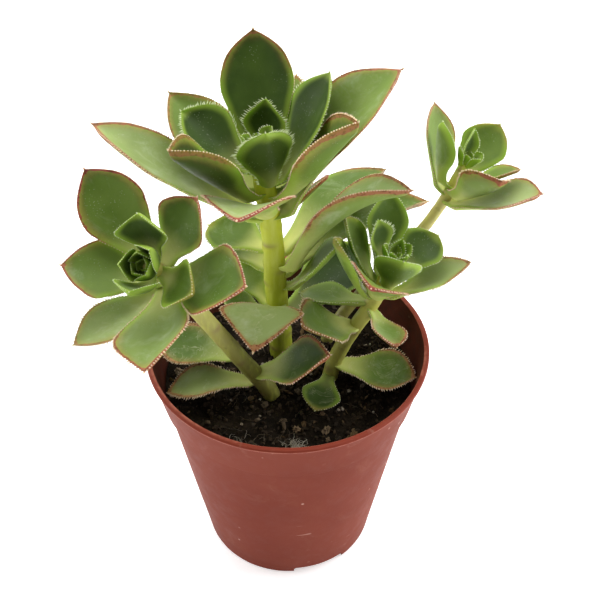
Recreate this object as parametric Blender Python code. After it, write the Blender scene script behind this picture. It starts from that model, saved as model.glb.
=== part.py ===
"""Potted aeonium: a branched succulent with four leaf rosettes in a small plastic nursery pot.

Metres, +Z up. The origin is the centre of the pot's base, on the surface that the pot stands on.
The side that the pot is looked at from is -Y.
"""

import math

import bmesh
import bpy
import numpy as np
from mathutils import Vector

MM = 0.001
GAP = 0.3 * MM                  # clearance between pieces that touch in real life

# Pot: a turned thin-walled shell with a lip, a stacking collar and a flat base
POT_HEIGHT = 50.0 * MM
LIP_RADIUS = 27.5 * MM
LIP_HEIGHT = 0.7 * MM
RIM_INNER_RADIUS = 26.4 * MM
COLLAR_TOP_RADIUS = 27.1 * MM
COLLAR_BOTTOM_RADIUS = 25.1 * MM
COLLAR_DEPTH = 9.6 * MM
COLLAR_STEP = 0.1 * MM          # rise of the ledge under the collar, from inside to outside
SHOULDER_RADIUS = 24.4 * MM     # body just under the collar
FOOT_RADIUS = 17.6 * MM
FOOT_ROUNDING = 0.8 * MM
FOOT_RING_RADIUS = 6.2 * MM     # an extra ring of vertices in the flat base
WALL = 0.7 * MM
POT_SEGMENTS = 60

# Three drain channels under the base, each with one hole into the pot
CHANNEL_DIRECTIONS = (-68, 52, 172)
CHANNEL_WIDTH = 11.0 * MM
CHANNEL_HEIGHT = 1.7 * MM
CHANNEL_START = 8.0 * MM        # distance from the pot's axis
DRAIN_HOLE_RADIUS = 2.0 * MM
DRAIN_HOLE_DISTANCE = 12.0 * MM
CUTTER_REACH = 26.0 * MM        # cutters end this far from the axis, well outside the foot
CUTTER_HEIGHT = 5.0 * MM

# Soil
SOIL_LEVEL = 41.5 * MM
SOIL_CROWN = 0.8 * MM           # the middle stands this much above the edge
SOIL_DIP = 0.3 * MM             # the edge lies this much below the level
SOIL_SHOULDER_RADIUS = 21.5 * MM
SOIL_SHOULDER_RISE = 0.24 * MM
SOIL_MOUND_RADIUS = 12.4 * MM
SOIL_MOUND_RISE = 0.64 * MM
SOIL_FLOOR_RADIUS = 8.8 * MM    # an extra ring of vertices underneath
SOIL_SEGMENTS = 48

# Stems: centre lines in millimetres from the end in the soil to the growing tip, and radii
STEMS = {
    "main_stem": {
        "route": [(-1, 6, 30), (-1.3, 6, 42), (-2.2, 6.5, 58), (-3, 7, 74), (-5, 8, 91)],
        "radius": 2.0,
    },
    "left_stem": {
        "route": [(-1, -5, 30), (-3, -6, 42), (-8.5, -6.5, 52), (-17, -7.5, 67),
                  (-21.5, -9.5, 76), (-23.6, -13, 80.5)],
        "radius": 1.5,
    },
    "right_stem": {
        "route": [(7, -2, 30), (8.2, -1, 41.5), (10.5, 0.3, 49), (16.6, 2, 60), (19.8, 2.5, 69.5)],
        "radius": 1.4,
    },
    "far_stem": {
        "route": [(7, 9, 30), (8, 10, 42), (13.5, 13, 50), (22, 16, 59), (29, 19, 67.5),
                  (34.5, 21.5, 78)],
        "radius": 1.1,
    },
}
STEM_SIDES = 10
BUD_LENGTH = 5.0 * MM           # the growing tip tapers over this length
BUD_TIP = 0.35                  # radius at the very end, as a share of the stem's
BUD_POINT = 0.4                 # height of the end's cone, as a share of the stem's radius
STEM_FLARE = 1.25               # radius at the soil, as a share of the stem's

# Leaf outline: distance along the leaf and width there, both as shares of the whole
LEAF_OUTLINE = ((0.0, 0.28), (0.15, 0.36), (0.30, 0.58), (0.44, 0.84),
                (0.58, 0.99), (0.72, 0.96), (0.85, 0.70), (0.94, 0.34))
LEAF_THICKNESS = 1.5 * MM       # of a leaf LEAF_NOMINAL_WIDTH wide
LEAF_NOMINAL_WIDTH = 13.0 * MM
LEAF_THINNING = 0.45            # share of the thickness that is lost towards the tip

# Leaf cross section, from margin to margin over the top and back underneath: place across as a
# share of the half-width, lift as a share of the margin's, and depth as a share of the thickness
LEAF_SECTION = ((-1, 1, 0), (-0.55, 0.42, 0), (0, 0, 0), (0.55, 0.42, 0),
                (1, 1, 0), (0.55, 0.42, -0.78), (0, 0, -1), (-0.55, 0.42, -0.78))

# Blade forms: how far the blade bends up along its length (negative curls back), and how far each
# half stands up from flat, in degrees
FORMS = {
    "flat": (5, 12),
    "dished": (10, 16),
    "cupped": (15, 22),
    "keeled": (10, 34),
    "recurved": (-40, 15),
    "arching": (-50, 26),
    "hooked": (-90, 12),
}

# Rosettes, youngest leaf first. The feet follow each other down the stem at an even pitch, from
# the first one's distance to the growing tip. Each leaf has its turn round the stem (0 to +X, 90
# away to the back), its lean from the stem, its length, width and form and, where the blade is
# turned about its own length, a roll. Millimetres and degrees.
ROSETTES = {
    "crown_leaf": {"stem": "main_stem", "first": 4, "pitch": 1, "leaves": [
        (70, 15, 10, 9, "cupped"),
        (155, 49, 15, 12, "cupped", 10),
        (-70, 15, 12, 11, "cupped"),
        (88, 35, 25, 14, "flat"),
        (28, 36, 20.5, 12, "dished"),
        (-142, 41, 21, 15, "keeled"),
        (-23, 44, 23, 14.5, "keeled"),
        (135, 55, 25, 14, "dished"),
        (-100, 60, 19, 16, "recurved"),
        (75, 60, 26, 12, "dished"),
        (12, 45, 32.5, 16, "recurved", -10),
        (168, 56, 33, 16, "dished", -8),
        (34, 70, 11.5, 5, "flat", 35),
    ]},
    "left_leaf": {"stem": "left_stem", "first": 1.5, "pitch": 1, "leaves": [
        (-95, 15, 7, 9, "cupped"),
        (86, 38, 9, 10.5, "cupped"),
        (-30, 55, 11, 10, "cupped"),
        (45, 65, 13, 12, "dished"),
        (120, 57, 20, 13, "flat"),
        (-25, 75, 19, 14, "flat"),
        (175, 55, 16, 12, "flat"),
        (-91, 75, 19, 15, "dished"),
        (-147, 77, 18, 10.5, "flat"),
    ]},
    "right_leaf": {"stem": "right_stem", "first": 2, "pitch": 1, "leaves": [
        (135, 30, 7.5, 7, "dished"),
        (38, 52, 10, 10, "flat"),
        (-90, 20, 8.5, 9.5, "cupped"),
        (105, 33, 15, 9, "dished"),
        (157, 44, 13, 8, "cupped"),
        (-115, 55, 13, 12, "recurved"),
        (5, 44, 16, 8.5, "dished"),
        (193, 47, 15.5, 7.5, "cupped"),
    ]},
    "far_leaf": {"stem": "far_stem", "first": 3, "pitch": 1, "leaves": [
        (-8, 50, 10, 7, "dished"),
        (60, 30, 13, 10, "flat"),
        (-170, 30, 12, 10, "cupped"),
        (-65, 45, 12, 12, "cupped"),
        (135, 40, 16, 11, "dished"),
        (-30, 50, 17, 13, "flat", -20),
    ]},
}

# Older leaves left on the stems below the rosettes: the same values, after the foot's distance to
# the growing tip
STEM_LEAVES = {
    "main_stem": [
        (23, 150, 85, 12, 13, "dished"),
        (24, 38, 75, 26, 12, "recurved", 14),
        (26, -10, 50, 29, 16, "arching", 20),
        (28, 135, 75, 13, 13, "dished"),
        (29, 30, 84, 33, 13, "arching"),
        (31, -13, 40, 15, 9, "dished"),
        (37, 140, 40, 9, 8, "dished"),
        (40, 35, 70, 21, 16, "dished"),
        (39, 175, 60, 9, 10, "dished"),
        (35, -102, 80, 16, 16, "hooked"),
    ],
    "left_stem": [
        (32, 152, 76, 17, 10, "flat"),
        (38, -15, 86, 16, 12, "dished"),
        (39, 180, 70, 16, 9, "recurved"),
    ],
    "right_stem": [
        (12, 158, 121, 12, 11, "flat"),
        (12, -60, 92, 9, 9, "dished"),
        (17, -142, 88, 14, 12, "dished"),
        (26, -15, 75, 14, 12, "flat", -15),
        (29, -105, 97, 10, 8, "flat"),
    ],
}


# ---------------------------------------------------------------- materials

def finish(name, colour, roughness, metallic=0.0):
    """One Principled material, made on first use."""
    material = bpy.data.materials.get(name)
    if material is None:
        material = bpy.data.materials.new(name)
        material.use_nodes = True
        shader = material.node_tree.nodes["Principled BSDF"]
        shader.inputs["Base Color"].default_value = (*colour, 1.0)
        shader.inputs["Roughness"].default_value = roughness
        shader.inputs["Metallic"].default_value = metallic
    return material


def pot_plastic():
    return finish("terracotta_plastic", (0.27, 0.075, 0.05), 0.45)


def soil_mix():
    return finish("potting_soil", (0.022, 0.016, 0.012), 0.95)


def stem_skin():
    return finish("green_stem", (0.33, 0.36, 0.06), 0.5)


def leaf_skin():
    return finish("leaf_green", (0.12, 0.23, 0.05), 0.42)


# ---------------------------------------------------------------- mesh helpers

def new_object(name, bm, material, smooth_angle=40.0):
    """Turn a bmesh into a named object with outward faces and smooth round surfaces."""
    bmesh.ops.recalc_face_normals(bm, faces=bm.faces)
    mesh = bpy.data.meshes.new(name)
    bm.to_mesh(mesh)
    bm.free()
    mesh.shade_smooth()
    mesh.set_sharp_from_angle(angle=math.radians(smooth_angle))
    mesh.materials.append(material)
    obj = bpy.data.objects.new(name, mesh)
    bpy.context.scene.collection.objects.link(obj)
    return obj


def bridge(bm, ring_a, ring_b):
    """Quads between two closed rings of the same number of vertices."""
    count = len(ring_a)
    for i in range(count):
        j = (i + 1) % count
        bm.faces.new((ring_a[i], ring_a[j], ring_b[j], ring_b[i]))


def close_with_point(bm, ring, point):
    """A fan of triangles from a ring to one vertex."""
    tip = bm.verts.new(point)
    for i in range(len(ring)):
        bm.faces.new((ring[i], ring[(i + 1) % len(ring)], tip))


def turned(name, profile, material, segments=POT_SEGMENTS):
    """Solid of revolution about Z. The profile runs from one point on the axis to another."""
    bm = bmesh.new()
    rings = []
    for radius, height in profile[1:-1]:
        ring = []
        for i in range(segments):
            angle = 2 * math.pi * i / segments
            ring.append(bm.verts.new((radius * math.cos(angle), radius * math.sin(angle), height)))
        rings.append(ring)
    for lower, upper in zip(rings, rings[1:]):
        bridge(bm, lower, upper)
    close_with_point(bm, rings[0], (0, 0, profile[0][1]))
    close_with_point(bm, rings[-1], (0, 0, profile[-1][1]))
    return new_object(name, bm, material)


def arc(centre, radius, start, end, steps):
    """Points on an arc in the (radius, height) plane, angles in degrees."""
    points = []
    for i in range(steps + 1):
        angle = math.radians(start + (end - start) * i / steps)
        points.append((centre[0] + radius * math.cos(angle), centre[1] + radius * math.sin(angle)))
    return points


def box(name, size, centre, turn_degrees):
    """A cutter or an addition: a box that is then turned about the Z axis of the world."""
    bm = bmesh.new()
    bmesh.ops.create_cube(bm, size=1.0)
    bmesh.ops.scale(bm, vec=Vector(size), verts=bm.verts)
    bmesh.ops.translate(bm, vec=Vector(centre), verts=bm.verts)
    obj = new_object(name, bm, pot_plastic())
    obj.rotation_euler = (0, 0, math.radians(turn_degrees))
    return guide(obj)


def cylinder(name, radius, bottom, top, centre, turn_degrees):
    """A vertical cutter cylinder, turned about the Z axis of the world."""
    bm = bmesh.new()
    bmesh.ops.create_cone(bm, cap_ends=True, segments=20, radius1=radius, radius2=radius,
                          depth=top - bottom)
    bmesh.ops.translate(bm, vec=Vector((centre, 0, (top + bottom) / 2)), verts=bm.verts)
    obj = new_object(name, bm, pot_plastic())
    obj.rotation_euler = (0, 0, math.radians(turn_degrees))
    return guide(obj)


def guide(obj):
    """Mark an object as a cutter, which isn't a piece of the model."""
    obj.hide_render = True
    obj.display_type = "WIRE"
    return obj


def boolean(obj, tool, operation):
    modifier = obj.modifiers.new(tool.name, "BOOLEAN")
    modifier.operation = operation
    modifier.solver = "EXACT"
    modifier.object = tool


# ---------------------------------------------------------------- pot

def body_radius(height):
    """Outer radius of the tapered body at a height below the collar."""
    share = height / (POT_HEIGHT - COLLAR_DEPTH)
    return FOOT_RADIUS + (SHOULDER_RADIUS - FOOT_RADIUS) * share


def make_pot():
    collar_bottom = POT_HEIGHT - COLLAR_DEPTH
    lip_rounding = LIP_HEIGHT / 2
    profile = [(0, 0), (FOOT_RING_RADIUS, 0)]
    profile += arc((FOOT_RADIUS - FOOT_ROUNDING, FOOT_ROUNDING), FOOT_ROUNDING, -90, 0, 3)
    profile += [
        (SHOULDER_RADIUS, collar_bottom),
        (COLLAR_BOTTOM_RADIUS, collar_bottom + COLLAR_STEP),
        (COLLAR_TOP_RADIUS, POT_HEIGHT - LIP_HEIGHT),
    ]
    profile += arc((LIP_RADIUS - lip_rounding, POT_HEIGHT - lip_rounding), lip_rounding, -60, 90, 4)
    profile += [
        (RIM_INNER_RADIUS, POT_HEIGHT),
        (COLLAR_BOTTOM_RADIUS - WALL, collar_bottom + WALL),
        (SHOULDER_RADIUS - WALL, collar_bottom - WALL),
        (FOOT_RADIUS - WALL, FOOT_ROUNDING + WALL),
        (FOOT_RADIUS - 2 * WALL, WALL),
        (0, WALL),
    ]
    pot = turned("pot", profile, pot_plastic())
    inside = cylinder("roof_limit", FOOT_RADIUS, 0, CUTTER_HEIGHT, 0, 0)
    for number, direction in enumerate(CHANNEL_DIRECTIONS, 1):
        roof_end = body_radius(CHANNEL_HEIGHT) - WALL / 2
        roof_start = CHANNEL_START - WALL
        roof = box(f"channel_roof_{number}",
                   (roof_end - roof_start, CHANNEL_WIDTH + 2 * WALL, CHANNEL_HEIGHT),
                   ((roof_end + roof_start) / 2, 0, WALL / 2 + CHANNEL_HEIGHT / 2), direction)
        hollow = box(f"channel_{number}",
                     (CUTTER_REACH - CHANNEL_START, CHANNEL_WIDTH, 2 * CHANNEL_HEIGHT),
                     ((CUTTER_REACH + CHANNEL_START) / 2, 0, 0), direction)
        hole = cylinder(f"drain_hole_{number}", DRAIN_HOLE_RADIUS, 0, CUTTER_HEIGHT,
                        DRAIN_HOLE_DISTANCE, direction)
        boolean(roof, inside, "INTERSECT")
        boolean(pot, roof, "UNION")
        boolean(pot, hollow, "DIFFERENCE")
        boolean(pot, hole, "DIFFERENCE")
    return pot


# ---------------------------------------------------------------- stems

def smooth_route(points, steps):
    """Catmull-Rom curve through the points, given in millimetres, as vectors in metres."""
    points = [Vector(p) * MM for p in points]
    ends = [2 * points[0] - points[1], *points, 2 * points[-1] - points[-2]]
    curve = []
    for p0, p1, p2, p3 in zip(ends, ends[1:], ends[2:], ends[3:]):
        for i in range(steps):
            t = i / steps
            curve.append(0.5 * (2 * p1 + (p2 - p0) * t + (2 * p0 - 5 * p1 + 4 * p2 - p3) * t * t
                                + (3 * p1 - 3 * p2 + p3 - p0) * t ** 3))
    curve.append(points[-1])
    return curve


class Stem:
    """A stem's centre line, measured from the growing tip downwards."""

    def __init__(self, spec, steps=12):
        self.radius = spec["radius"] * MM
        self.line = smooth_route(spec["route"], steps)
        lengths = [(b - a).length for a, b in zip(self.line, self.line[1:])]
        self.along = np.concatenate([[0.0], np.cumsum(lengths)])
        self.length = float(self.along[-1])

    def point(self, down):
        place = self.length - down
        coordinates = np.array([list(p) for p in self.line])
        return Vector([float(np.interp(place, self.along, coordinates[:, k])) for k in range(3)])

    def direction(self, down):
        step = 0.5 * MM
        low = min(self.length, down + step)
        high = max(0.0, down - step)
        return (self.point(high) - self.point(low)).normalized()

    def radius_at(self, down):
        """Tapered at the growing tip, slightly flared towards the soil."""
        flare = 1 + (STEM_FLARE - 1) * min(1.0, down / self.length) ** 2
        bud = min(1.0, down / BUD_LENGTH)
        return self.radius * flare * (BUD_TIP + (1 - BUD_TIP) * math.sqrt(bud * (2 - bud)))


def ring_axes(direction):
    """Two axes across a direction, the first one as near to +X as possible."""
    across = (Vector((1, 0, 0)) - direction * direction.x).normalized()
    return across, direction.cross(across)


def stem_tube(name, stem, material, extra=0.0, steps=16, sides=STEM_SIDES):
    """A closed tube along the stem. extra makes it fatter, for the socket in the soil."""
    bm = bmesh.new()
    rings = []
    for i in range(steps + 1):
        share = i / steps
        down = stem.length * (1 - share)
        across, along = ring_axes(stem.direction(down))
        radius = stem.radius_at(down) + extra
        centre = stem.point(down)
        ring = []
        for k in range(sides):
            angle = 2 * math.pi * k / sides
            ring.append(bm.verts.new(centre + radius * (math.cos(angle) * across
                                                        + math.sin(angle) * along)))
        rings.append(ring)
    for lower, upper in zip(rings, rings[1:]):
        bridge(bm, lower, upper)
    start = stem.direction(stem.length)
    close_with_point(bm, rings[0], stem.point(stem.length) - start * extra)
    point = BUD_POINT * stem.radius + extra
    close_with_point(bm, rings[-1], stem.point(0) + stem.direction(0) * point)
    return new_object(name, bm, material)


# ---------------------------------------------------------------- soil

def make_soil(stems):
    bottom = WALL + GAP
    collar_bottom = POT_HEIGHT - COLLAR_DEPTH

    def inner_radius(height):
        return body_radius(height) - WALL - GAP

    profile = [
        (0, bottom),
        (SOIL_FLOOR_RADIUS, bottom),
        (FOOT_RADIUS - 2 * WALL - 2 * GAP, bottom),
        (FOOT_RADIUS - WALL - 2 * GAP, FOOT_ROUNDING + WALL + GAP),
        (inner_radius(collar_bottom - WALL) - GAP, collar_bottom - WALL - GAP),
        (COLLAR_BOTTOM_RADIUS - WALL - 2 * GAP, SOIL_LEVEL - SOIL_DIP),
        (SOIL_SHOULDER_RADIUS, SOIL_LEVEL + SOIL_SHOULDER_RISE),
        (SOIL_MOUND_RADIUS, SOIL_LEVEL + SOIL_MOUND_RISE),
        (0, SOIL_LEVEL + SOIL_CROWN),
    ]
    soil = turned("soil", profile, soil_mix(), segments=SOIL_SEGMENTS)
    for number, direction in enumerate(CHANNEL_DIRECTIONS, 1):
        start = CHANNEL_START - WALL - GAP
        recess = box(f"soil_recess_{number}",
                     (CUTTER_REACH - start, CHANNEL_WIDTH + 2 * WALL + 2 * GAP, 2 * CHANNEL_HEIGHT),
                     ((CUTTER_REACH + start) / 2, 0, WALL / 2 + GAP), direction)
        boolean(soil, recess, "DIFFERENCE")
    for name, stem in stems.items():
        socket = guide(stem_tube(f"socket_{name}", stem, soil_mix(), extra=GAP))
        boolean(soil, socket, "DIFFERENCE")
    return soil


# ---------------------------------------------------------------- leaves

class Blade:
    """The place and frame of one leaf: foot, direction, upper side and half-width direction."""

    def __init__(self, stem, down, turn, lean, length, width, form, roll=0):
        arch, fold = FORMS[form]
        self.length = length * MM
        self.width = width * MM
        self.arch = math.radians(arch)
        self.fold = math.radians(fold)
        self.thickness = LEAF_THICKNESS * math.sqrt(self.width / LEAF_NOMINAL_WIDTH)
        down = down * MM
        axis = stem.direction(down)
        first, second = ring_axes(axis)
        turn = math.radians(turn)
        lean = math.radians(lean)
        outward = math.cos(turn) * first + math.sin(turn) * second
        self.direction = math.cos(lean) * axis + math.sin(lean) * outward
        side = outward.cross(axis)
        upper = side.cross(self.direction)
        roll = math.radians(roll)
        self.side = math.cos(roll) * side + math.sin(roll) * upper
        self.upper = self.side.cross(self.direction)
        clear = GAP + self.thickness * abs(math.cos(lean))
        self.foot = stem.point(down) + outward * (stem.radius_at(down) + clear)

    def midrib(self, t):
        """A point on the upper side's centre line."""
        sag = self.length * self.arch * t * (1 - t) / 2
        return self.foot + self.direction * self.length * t - self.upper * sag

    def section(self, t, share):
        """Eight points round the blade at t: margin, upper side, margin, lower side."""
        half = self.width * share / 2
        rise = half * math.sin(self.fold)
        reach = half * math.cos(self.fold)
        thick = self.thickness * (1 - LEAF_THINNING * t)
        centre = self.midrib(t)
        points = []
        for across, lift, depth in LEAF_SECTION:
            points.append(centre + self.side * (across * reach)
                          + self.upper * (lift * rise + depth * thick))
        return points


def make_leaf(name, blade):
    bm = bmesh.new()
    rings = []
    for t, share in LEAF_OUTLINE:
        rings.append([bm.verts.new(point) for point in blade.section(t, share)])
    for lower, upper in zip(rings, rings[1:]):
        bridge(bm, lower, upper)
    bm.faces.new(rings[0])
    close_with_point(bm, rings[-1], blade.midrib(1.0))
    return new_object(name, bm, leaf_skin(), smooth_angle=60)


# ---------------------------------------------------------------- assembly

def build():
    for obj in list(bpy.data.objects):
        bpy.data.objects.remove(obj, do_unlink=True)
    stems = {name: Stem(spec) for name, spec in STEMS.items()}
    make_pot()
    make_soil(stems)
    for name, stem in stems.items():
        stem_tube(name, stem, stem_skin())
    for name, rosette in ROSETTES.items():
        for rank, leaf in enumerate(rosette["leaves"]):
            down = rosette["first"] + rosette["pitch"] * rank
            make_leaf(f"{name}_{rank + 1:02d}", Blade(stems[rosette["stem"]], down, *leaf))
    for name, leaves in STEM_LEAVES.items():
        for number, leaf in enumerate(leaves, 1):
            make_leaf(f"{name}_leaf_{number:02d}", Blade(stems[name], *leaf))


build()
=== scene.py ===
from collections import Counter
from math import cos, exp, hypot, pi, radians, sin, sqrt

import bmesh
import bpy
import numpy as np
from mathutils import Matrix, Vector, noise


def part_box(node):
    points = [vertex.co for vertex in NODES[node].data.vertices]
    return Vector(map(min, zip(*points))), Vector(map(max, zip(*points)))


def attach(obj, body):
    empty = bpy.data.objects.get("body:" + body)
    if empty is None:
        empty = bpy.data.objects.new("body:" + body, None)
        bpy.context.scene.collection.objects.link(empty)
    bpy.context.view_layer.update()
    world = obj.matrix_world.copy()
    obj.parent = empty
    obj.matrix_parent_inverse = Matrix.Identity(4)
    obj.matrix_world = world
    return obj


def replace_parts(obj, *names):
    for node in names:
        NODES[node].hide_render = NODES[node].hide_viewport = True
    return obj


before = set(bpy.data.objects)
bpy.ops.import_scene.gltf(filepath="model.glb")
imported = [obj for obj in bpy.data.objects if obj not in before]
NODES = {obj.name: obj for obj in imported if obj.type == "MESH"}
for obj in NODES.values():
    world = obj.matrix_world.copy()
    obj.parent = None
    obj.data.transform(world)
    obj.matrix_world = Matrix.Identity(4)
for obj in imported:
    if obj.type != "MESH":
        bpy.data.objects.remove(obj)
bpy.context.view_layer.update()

MM = 0.001
TURN = 2 * pi
SEED = 7
rng = np.random.default_rng(SEED)


# ---- node helpers

class Value:
    """A node's output, which can stand in sums and products."""

    def __init__(self, nodes, socket):
        self.nodes = nodes
        self.socket = socket

    def __add__(self, other):
        return self.nodes.math("ADD", self, other)

    def __sub__(self, other):
        return self.nodes.math("SUBTRACT", self, other)

    def __rsub__(self, other):
        return self.nodes.math("SUBTRACT", other, self)

    def __mul__(self, other):
        return self.nodes.math("MULTIPLY", self, other)


class Nodes:
    """Short calls for building the node tree of a material, or of a world."""

    def __init__(self, name, kind="materials"):
        self.owner = getattr(bpy.data, kind).new(name)
        self.owner.use_nodes = True
        self.tree = self.owner.node_tree

    def node(self, kind, inputs=(), **settings):
        """A node's outputs, with its inputs and settings set."""
        made = self.tree.nodes.new(kind)
        for key, value in settings.items():
            setattr(made, key, value)
        self.fill(made, inputs)
        return [Value(self, socket) for socket in made.outputs]

    def fill(self, node, inputs):
        for key, value in dict(inputs).items():
            socket = node.inputs[key]
            if isinstance(value, Value):
                self.tree.links.new(value.socket, socket)
            elif socket.type == "RGBA":
                socket.default_value = (*value, 1.0)
            else:
                socket.default_value = value

    def math(self, operation, a, b=0.0, clamp=False):
        return self.node("ShaderNodeMath", {0: a, 1: b}, operation=operation, use_clamp=clamp)[0]

    def remap(self, value, low, high, to_low=0.0, to_high=1.0, kind="SMOOTHSTEP"):
        """Smooth step of a value between two ends, from one number to another."""
        inputs = {0: value, 1: low, 2: high, 3: to_low, 4: to_high}
        return self.node("ShaderNodeMapRange", inputs, interpolation_type=kind)[0]

    def mix(self, share, a, b):
        return self.node("ShaderNodeMix", {0: share, 6: a, 7: b}, data_type="RGBA")[2]

    def ramp(self, value, stops):
        made = self.tree.nodes.new("ShaderNodeValToRGB")
        self.fill(made, {0: value})
        elements = made.color_ramp.elements
        while len(elements) < len(stops):
            elements.new(0.5)
        for element, (place, colour) in zip(elements, stops):
            element.position = place
            element.color = (*colour, 1.0)
        return Value(self, made.outputs[0])

    def place(self, scale=(1, 1, 1)):
        """Coordinates on the object, in metres times a scale."""
        on_object = self.node("ShaderNodeTexCoord")[3]
        return self.node("ShaderNodeMapping", {"Vector": on_object, "Scale": scale})[0]

    def noise(self, scale, detail=3.0, rough=0.55, stretch=(1, 1, 1), distortion=0.0):
        return self.node("ShaderNodeTexNoise",
                         {"Vector": self.place(stretch), "Scale": scale, "Detail": detail,
                          "Roughness": rough, "Distortion": distortion})[0]

    def cells(self, scale):
        """Distance from the middle of the nearest of many scattered cells."""
        return self.node("ShaderNodeTexVoronoi", {"Vector": self.place(), "Scale": scale})[0]

    def attribute(self, name):
        vector = self.node("ShaderNodeAttribute", attribute_name=name)[1]
        return self.node("ShaderNodeSeparateXYZ", {0: vector})

    def bump(self, height, strength, distance):
        return self.node("ShaderNodeBump", {"Height": height, "Strength": strength,
                                            "Distance": distance})[0]

    def finish(self, colour, roughness, normal, **uniform):
        shader = self.tree.nodes["Principled BSDF"]
        self.fill(shader, {"Base Color": colour, "Roughness": roughness, "Normal": normal})
        self.fill(shader, {key.replace("_", " "): value for key, value in uniform.items()})
        return self.owner


# ---- materials

def leaf_material():
    """Fleshy leaf skin. The mesh says where a point lies: along the blade, how far in from the
    margin in millimetres, upper or lower side; and how the leaf looks: shade, red, span of the
    red from the tip, yellow foot, age, and tooth."""
    n = Nodes("aeonium_leaf")
    along, edge, upper = n.attribute("place")
    shade, red, span = n.attribute("look")
    base, age, tooth = n.attribute("detail")

    # Dark to pale green, by the leaf's shade, in soft patches and a little paler at the foot
    # Painted light and shade: the shade number is lower on leaves in shadow and higher on leaves
    # lit from above
    mottle = n.noise(420, 4, 0.6)
    tone = shade + (n.noise(110, 3, 0.5) - 0.5) * 0.45 + (mottle - 0.5) * 0.16
    tone = (tone + (0.6 - along) * 0.1) * 0.85 + 0.15
    colour = n.ramp(tone, [(0.0, (0.022, 0.045, 0.004)), (0.15, (0.034, 0.066, 0.008)),
                           (0.4, (0.078, 0.135, 0.014)), (0.66, (0.155, 0.232, 0.04)),
                           (1.0, (0.29, 0.36, 0.13))])
    paler = n.math("ADD", shade * 0.45, 0.2, clamp=True)
    colour = n.mix(upper, n.mix(paler, colour, (0.185, 0.275, 0.05)), colour)
    # Waxy bloom: pale blotches, and tiny pale dots
    # The blotches grow with the shade number, so on leaves lit from above they also paint light
    bloom = n.remap(n.noise(160, 4, 0.7, distortion=0.6), 0.5, 0.78) * shade
    colour = n.mix(bloom * 0.5, colour, (0.47, 0.53, 0.36))
    dots = n.remap(n.cells(2100), 0.1, 0.26, 1.0, 0.0) * n.remap(n.noise(240, 2), 0.48, 0.66)
    colour = n.mix(dots * 0.2, colour, (0.6, 0.66, 0.48))
    # Pale yellow-green foot: its own paler colour, made brighter as painted light shining through
    # the base
    foot = n.remap(along + mottle * 0.1, 0.02, 0.52, 1.0, 0.0) * base
    colour = n.mix(foot, colour, (0.74, 0.76, 0.25))
    # Thin bright green rim, fading with age: painted light shining through the thin margin
    rim = n.remap(edge, 0.1, 1.6, 1.0, 0.0) * n.remap(age, 0.0, 0.5, 0.72, 0.3)
    colour = n.mix(rim, colour, (0.3, 0.43, 0.05))
    # Dried water marks on old blades: a film of lime with a line round it
    level = n.noise(190, 3, 0.55, distortion=1.2)
    line = n.remap(n.math("ABSOLUTE", level - 0.52), 0.0, 0.022, 1.0, 0.0)
    film_and_shade = n.remap(level, 0.52, 0.6) * 0.45
    stains = n.math("MAXIMUM", line, film_and_shade) * n.remap(mottle, 0.4, 0.6)
    stains = stains * (age * n.remap(edge, 0.3, 1.4))
    colour = n.mix(stains * 0.36, colour, (0.62, 0.6, 0.4))
    # Red-brown margin, broken up, widest at the tip; wider and orange-brown when old
    width = n.remap(along, 0.4, 1.0, 0.34, 0.68) + (n.noise(900, 2) - 0.5) * 0.75 + age * 0.25
    reach = n.remap(along - (1.0 - span), -0.06, 0.14)
    margin = n.remap(width - edge, -0.1, 0.14) * reach * red
    flush = n.remap(edge, 0.3, 2.2, 0.35, 0.0) * (reach * red)
    blush = n.mix(age, (0.33, 0.08, 0.055), (0.4, 0.19, 0.085))
    blush = n.mix(n.remap(n.noise(1500, 2), 0.46, 0.66), blush, (0.17, 0.036, 0.026))
    colour = n.mix(n.math("MAXIMUM", margin, flush), colour, blush)
    # Marginal teeth: pale green, pinkish where the margin is red
    horn = n.mix(red, (0.58, 0.67, 0.38), (0.64, 0.43, 0.31))
    colour = n.mix(n.remap(tooth, 0.05, 0.45), colour, horn)

    rough = n.remap(mottle, 0.3, 0.7, 0.42, 0.58) + margin * 0.1
    skin = n.noise(2600, 2, 0.5) * 0.35 + mottle * 0.65
    return n.finish(colour, rough, n.bump(skin, 0.35, 0.00012), Subsurface_Weight=0.18,
                    Subsurface_Scale=0.0012, Subsurface_Radius=(0.6, 1.0, 0.25),
                    Specular_IOR_Level=0.16)


def stem_material():
    """Green stem skin: yellow-green above, olive or bark-brown below, with darker scars."""
    n = Nodes("aeonium_stem")
    height, brown, scar = n.attribute("stem")
    streak = n.noise(900, 4, 0.6, stretch=(1, 1, 0.18))
    mottle = n.noise(480, 3, 0.6)
    green = n.mix(height, (0.3, 0.35, 0.026), (0.54, 0.58, 0.036))
    olive = n.mix(height, (0.13, 0.124, 0.032), (0.58, 0.5, 0.18))
    colour = n.mix(brown, green, olive)
    colour = n.mix(n.remap(streak, 0.45, 0.72) * 0.45, colour, (0.58, 0.62, 0.12))
    spots = n.remap(mottle, 0.52, 0.74) * (brown * 0.35 + 0.1)
    colour = n.mix(spots, colour, (0.15, 0.125, 0.04))
    colour = n.mix(scar * 0.75, colour, (0.24, 0.17, 0.07))
    normal = n.bump(streak * 0.6 + mottle, 0.5, 0.00014)
    return n.finish(colour, n.remap(mottle, 0.3, 0.7, 0.38, 0.58), normal,
                    Subsurface_Weight=0.15, Subsurface_Scale=0.0012,
                    Subsurface_Radius=(0.7, 1.0, 0.2), Specular_IOR_Level=0.4)


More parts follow.
